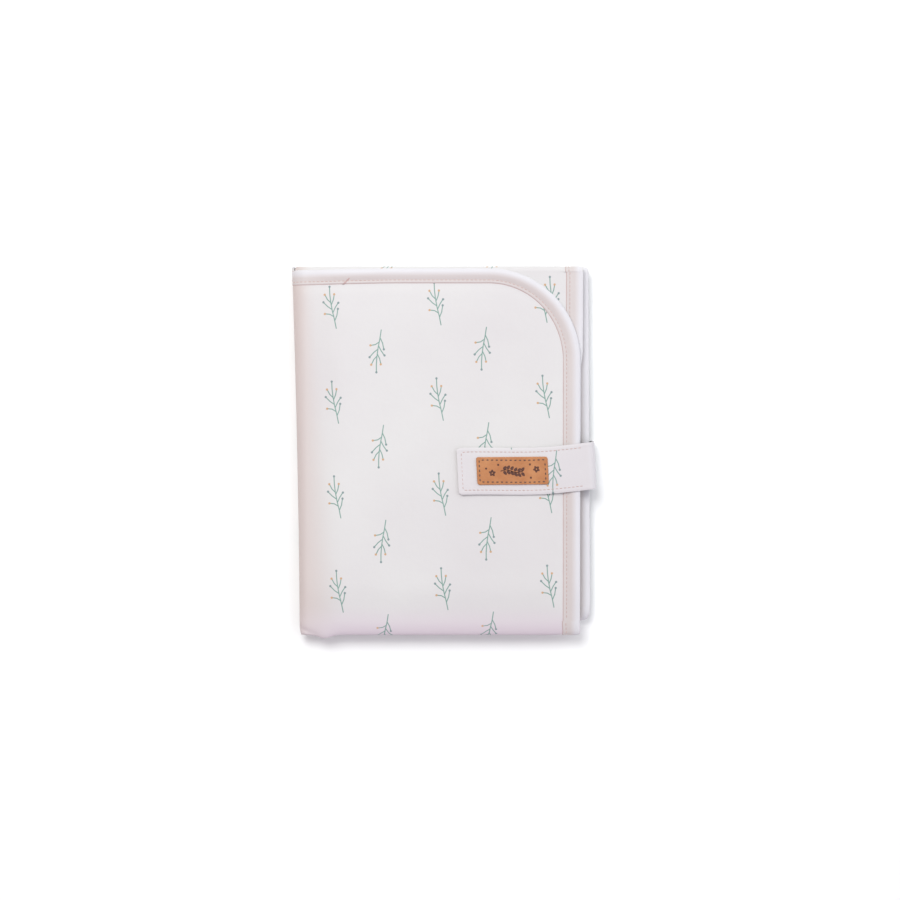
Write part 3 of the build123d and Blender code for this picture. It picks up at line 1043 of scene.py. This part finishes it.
def make_strap():
    line, normal, bend_from, bend_to = strap_route()
    lengths = run_of(line)
    cut = (bend_from + bend_to) // 2
    low, high = HINGE.z, TAB_HINGE.z
    pieces = (("strap_lower", slice(0, cut + 1), ("long_flap_back", "strap_side"), low, low + 5 * MM,
               ("strap_tail_outer", "strap_tail_lining", "strap_bend_lining")),
              ("strap_upper", slice(cut, None), ("strap_side", "strap_tab"), high - 5 * MM, high,
               ("strap_tab_outer", "strap_tab_lining", "strap_bend_outer")))
    on_tab_all = np.arange(len(line)) >= bend_to - 4
    for name, part, bodies, start, end, nodes in pieces:
        (outer, inner), w = strap_skins(line[part], normal[part], on_tab_all[part])
        u = -(lengths[part] - lengths[bend_to])[:, None] / MM + 0 * w
        sheet = np.stack([u + PRINT_U, w / MM + PRINT_V], -1)
        obj = padded_sheet(name, outer, inner, sheet, [STRAP, STRAP])
        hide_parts(*nodes)
        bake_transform(obj)


def ring_line(x0, x1, half_w, r, z):
    """A closed rounded rectangle in the strap's own frame, as a row of points."""
    points = []
    for cx, cy, a0 in ((x1 - r, half_w - r, 0), (x0 + r, half_w - r, 90), (x0 + r, -half_w + r, 180),
                       (x1 - r, -half_w + r, 270)):
        for k in range(7):
            a = math.radians(a0 + 15 * k)
            points.append((cx + r * math.cos(a), cy + r * math.sin(a), z))
    points.append(points[0])
    return np.array(points)


def resample(points, step):
    run = run_of(points)
    return points_at(np.linspace(0, run[-1], max(2, round(run[-1] / step))), run, points)


def tab_stitching():
    x_in, edge = -3 * MM, STRAP_W / 2 - THREAD_EDGE
    end, r = -TAB_LEN + THREAD_EDGE, 1.2 * MM
    path = [(x_in, edge, 0), (end + r, edge, 0), (end, edge - r, 0)]
    points = resample(np.array(path + [(x, -y, z) for x, y, z in reversed(path)]), 1.5 * MM)
    points[:, 2] = TAB_HINGE.z + STRAP_T * 0.5 + tab_sag(points[:, 0], points[:, 1]) - 0.10 * MM
    row = stitch_row("strap_tab_stitches", strap_frame(points), UP, THREAD, step=2.9 * MM)
    attach(row, "thread", "strap_tab", "strap_tab_stitching")


def tail_stitching():
    ring = ring_line(-TAIL_LEN + 3 * MM, -9 * MM, STRAP_W / 2 - 3 * MM, 1.5 * MM, 0.02 * MM)
    points = resample(ring, 1.5 * MM)
    row = stitch_row("strap_tail_stitches", strap_frame(points), -UP, THREAD, width=0.3 * MM)
    attach(row, "thread", "long_flap_back", "strap_tail_stitching")


def strap_point(node):
    """The middle of a CAD piece on the strap, as a place along the strap, and its lowest and highest z."""
    low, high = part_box(node)
    return ((low + high) / 2 - HINGE).dot(STRAP_ALONG), low.z, high.z


def rounded_plate(name, x_mid, size, z_low, z_high, r, looks, bevel):
    """A flat rounded plate with a bevelled edge, as a fan of rings from its rim to its middle."""
    half_x, half_y = size[0] / 2, size[1] / 2
    levels = [(bevel, z_low, 0.2), (0, z_low + bevel, 0.2), (0, z_high - bevel, 0.2),
              (bevel * 0.3, z_high - bevel * 0.3, 0.2), (bevel, z_high, 0.2)]
    levels += [(inset, z_high, 0.05) for inset in np.linspace(bevel * 2, half_y - 0.1 * MM, 9)]
    rings = np.array([ring_line(x_mid - half_x + inset, x_mid + half_x - inset, half_y - inset,
                                max(r - inset, least * MM), z)[:-1] for inset, z, least in levels])
    points = rings.reshape(-1, 3)
    return new_mesh(name, strap_frame(points), tube_faces(*rings.shape[:2]), [looks], smooth_angle=60,
                    sheet=points[:, :2] / MM)


def make_label():
    x_mid, z_low, z_high = strap_point("leather_label")
    z_low += tab_sag(np.array([x_mid]), np.array([0.0]))[0]
    z_high = z_low + 1.15 * MM
    label = rounded_plate("leather_label_plate", x_mid, LABEL_SIZE, z_low - 0.1 * MM, z_high, 1.6 * MM,
                          LEATHER, 0.35 * MM)
    half_x, half_y = LABEL_SIZE[0] / 2 - 2 * MM, LABEL_SIZE[1] / 2 - 2 * MM
    line = resample(ring_line(x_mid - half_x, x_mid + half_x, half_y, 1.0 * MM, z_high - 0.04 * MM), 0.6 * MM)
    row = stitch_row("label_stitches", strap_frame(line), UP, LABEL_THREAD, length=1.9 * MM,
                     step=3.25 * MM, width=0.8 * MM)
    attach(label, "label_leather", "strap_tab", "leather_label")
    attach(row, "thread", "strap_tab", "label_stitching")
    make_ornaments(x_mid, z_high)


def ornament_petals(cx, cy, r, count, turn, full=0.30):
    """A small pressed flower: drop-shaped petals round a centre."""
    shapes = []
    for k in range(count):
        a = turn + 2 * math.pi * k / count
        outline = []
        for b in np.linspace(0, 2 * math.pi, 10, endpoint=False):
            along_petal = r * (0.58 + 0.42 * math.cos(b))
            side = r * full * math.sin(b) * (1.15 - 0.3 * math.cos(b))
            outline.append((cx + along_petal * math.cos(a) - side * math.sin(a),
                            cy + along_petal * math.sin(a) + side * math.cos(a)))
        shapes.append(outline)
    return shapes


def ornament_disc(cx, cy, r):
    return [[(cx + r * math.cos(math.radians(30 * q)), cy + r * math.sin(math.radians(30 * q)))
             for q in range(12)]]


def make_ornaments(x_mid, z):
    """Plain pressed ornaments: a leafy spray in the middle, a flower at each side and a few dots."""
    shapes = []
    for k in range(31):
        x = (-8.1 + 0.5 * k) * MM
        bow = 0.9 * MM * math.sin(k * 0.21)
        shapes += ornament_disc(x_mid + x, bow, 0.36 * MM)
        if k % 5 == 3:
            for side in (-1, 1):
                lean = side * math.radians(52)
                shapes += ornament_petals(x_mid + x, bow, 3.9 * MM, 1, lean, 0.24)
    for cx, cy, turn in ((-14.2, -1.4, 0.3), (16.8, 1.3, 0.8)):
        shapes += ornament_petals(x_mid + cx * MM, cy * MM, 2.5 * MM, 5, turn)
    for cx, cy in ((-18.4, 1.7), (12.4, 4.7), (12.6, -4.6), (-9.8, 4.4)):
        shapes += ornament_disc(x_mid + cx * MM, cy * MM, 0.75 * MM)
    verts, faces = [], []
    for outline in shapes:
        first, count = len(verts), len(outline)
        for lift in (-0.1 * MM, 0.03 * MM):
            verts += [(x, y, z + lift) for x, y in outline]
        faces += tube_faces(2, count, first)
    obj = new_mesh("label_ornaments", strap_frame(verts), faces, [PRESSED], smooth_angle=30)
    attach(obj, "label_leather", "strap_tab")


def make_hook_and_loop():
    for node, size, body, looks in (("hook_tape", (26 * MM, 25 * MM), "strap_tab", HOOK),
                                    ("loop_tape", (40 * MM, 28 * MM), "long_flap_front", LOOP)):
        x_mid, z_low, z_high = strap_point(node)
        obj = rounded_plate(f"{node}_patch", x_mid, size, z_low, z_high, 1.5 * MM, looks, 0.15 * MM)
        attach(obj, node, body, node)


make_strap()
tab_stitching()
tail_stitching()
make_label()
make_hook_and_loop()


# ---- floor, light and camera
def make_floor():
    s = 3.0
    mat, _, shader = material("floor_white")
    settle(shader, Base_Color=(0.905, 0.92, 0.91, 1), Roughness=0.9, Specular_IOR_Level=0.1)
    new_mesh("floor", [(-s, -s, 0), (s, -s, 0), (s, s, 0), (-s, s, 0)], [(0, 1, 2, 3)], [mat])


def area_light(name, place_at, size, power):
    """A round lamp that shines at the part's origin."""
    data = bpy.data.lights.new(name, "AREA")
    data.shape = "DISK"
    data.size = size
    data.energy = power
    light = add_object(name, data)
    light.location = place_at
    light.rotation_euler = (-Vector(place_at)).to_track_quat("-Z", "Y").to_euler()


make_floor()
area_light("key", (-0.45, 0.85, 1.6), 1.0, 22)
area_light("right", (1.3, 0.3, 1.3), 1.6, 3)
world = bpy.data.worlds.new("studio")
world.use_nodes = True


def tint_world(tree):
    """A studio that is a little pinker to the left, mauve to the front and cooler to the right."""
    x, y, _ = split_xyz(tree, tree.nodes.new("ShaderNodeTexCoord").outputs["Generated"])
    colour = (1.0, 1.04, 1.02, 1)
    sides = ((calc(tree, "MULTIPLY", x, -1.0, clamp=True), (0.34, 0.20, 0.18, 1)),
             (calc(tree, "MULTIPLY", x, 1.0, clamp=True), (1.36, 1.38, 1.52, 1)),
             (calc(tree, "MULTIPLY", y, -1.0, clamp=True), (0.66, 0.54, 0.67, 1)))
    for share, other in sides:
        colour = mix(tree, share, colour, other)
    background = tree.nodes["Background"]
    put(tree, background.inputs["Color"], colour)
    settle(background, Strength=0.82)


tint_world(world.node_tree)
scene = bpy.context.scene
scene.world = world
scene.view_settings.view_transform = "Standard"

CAMERA_FROM = 1.6  # metres above the pad's top
FRAME_W = 0.630  # what the picture takes in, at the pad's top
camera_data = bpy.data.cameras.new("camera")
camera_data.lens = camera_data.sensor_width * CAMERA_FROM / FRAME_W
camera = add_object("camera", camera_data)
camera.location = (SPINE_X + 109.2 * MM, FRONT_CREASE + 130.2 * MM, cad_box[1].z + CAMERA_FROM)
scene.camera = camera
